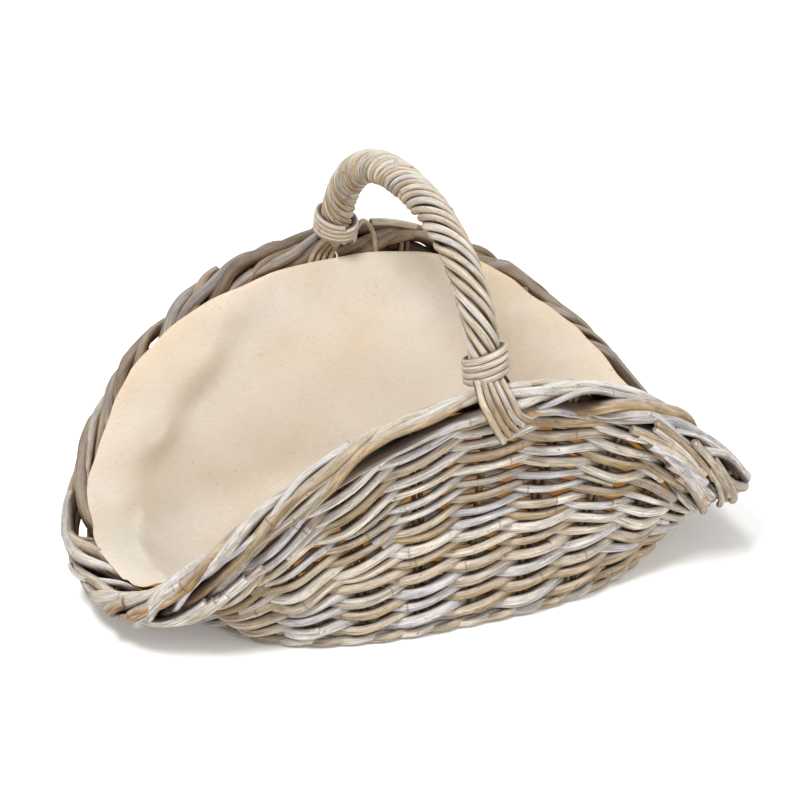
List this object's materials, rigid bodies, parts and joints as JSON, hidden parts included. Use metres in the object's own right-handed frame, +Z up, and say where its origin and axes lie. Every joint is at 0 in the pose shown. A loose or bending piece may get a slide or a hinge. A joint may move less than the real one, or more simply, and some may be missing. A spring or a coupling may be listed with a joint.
{
  "type": "log basket",
  "caption": "Oval wicker log basket with high sides, low open ends, a rolled border, a fixed twisted bow handle and a loose cotton liner.",
  "frame": {"origin": "on the floor under the middle of the base", "axes": "+X along the length towards one low end, +Y across from one high side to the other, +Z up"},
  "size_m": [0.6388, 0.4188, 0.3994],
  "materials": {
    "grey_rattan": "matt, washed grey",
    "warm_rattan": "matt, washed tan",
    "brown_rattan": "matt",
    "calico": "unbleached woven cotton",
    "cotton_thread": "twisted cotton"
  },
  "bodies": {
    "root": {"back_row_03": "grey_rattan", "back_row_04": "grey_rattan", "back_row_05": "grey_rattan", "back_row_06": "grey_rattan", "back_row_07": "grey_rattan", "back_row_08": "grey_rattan", "back_row_09": "grey_rattan", "back_row_10": "grey_rattan", "back_row_11": "grey_rattan", "back_row_12": "grey_rattan", "base_cross_sticks": "brown_rattan", "base_hoop": "brown_rattan", "base_weavers": "brown_rattan", "border_rod_1": "grey_rattan", "border_rod_2": "grey_rattan", "border_rod_3": "grey_rattan", "border_rod_4": "grey_rattan", "border_rod_5": "grey_rattan", "border_rod_6": "grey_rattan", "foot_ring": "grey_rattan", "front_row_03": "grey_rattan", "front_row_04": "grey_rattan", "front_row_05": "grey_rattan", "front_row_06": "grey_rattan", "front_row_07": "grey_rattan", "front_row_08": "grey_rattan", "front_row_09": "grey_rattan", "front_row_10": "grey_rattan", "front_row_11": "grey_rattan", "front_row_12": "grey_rattan", "handle_band_back": "warm_rattan", "handle_band_front": "warm_rattan", "handle_core": "warm_rattan", "handle_curl_back": "warm_rattan", "handle_strand_1": "warm_rattan", "handle_strand_2": "warm_rattan", "handle_strand_3": "warm_rattan", "handle_strand_4": "warm_rattan", "handle_strand_5": "warm_rattan", "handle_strand_6": "warm_rattan", "handle_strand_7": "warm_rattan", "handle_strand_8": "warm_rattan", "handle_straps_inner_back": "warm_rattan", "handle_straps_inner_front": "warm_rattan", "handle_straps_outer_back": "warm_rattan", "handle_straps_outer_front": "warm_rattan", "liner": "calico", "liner_tie": "cotton_thread", "stakes_back": "brown_rattan", "stakes_front": "brown_rattan", "stakes_left_end": "brown_rattan", "stakes_right_end": "brown_rattan", "wall_row_01": "grey_rattan", "wall_row_02": "grey_rattan", "wall_row_13": "grey_rattan", "wall_row_14": "grey_rattan"}
  },
  "joints": []
}
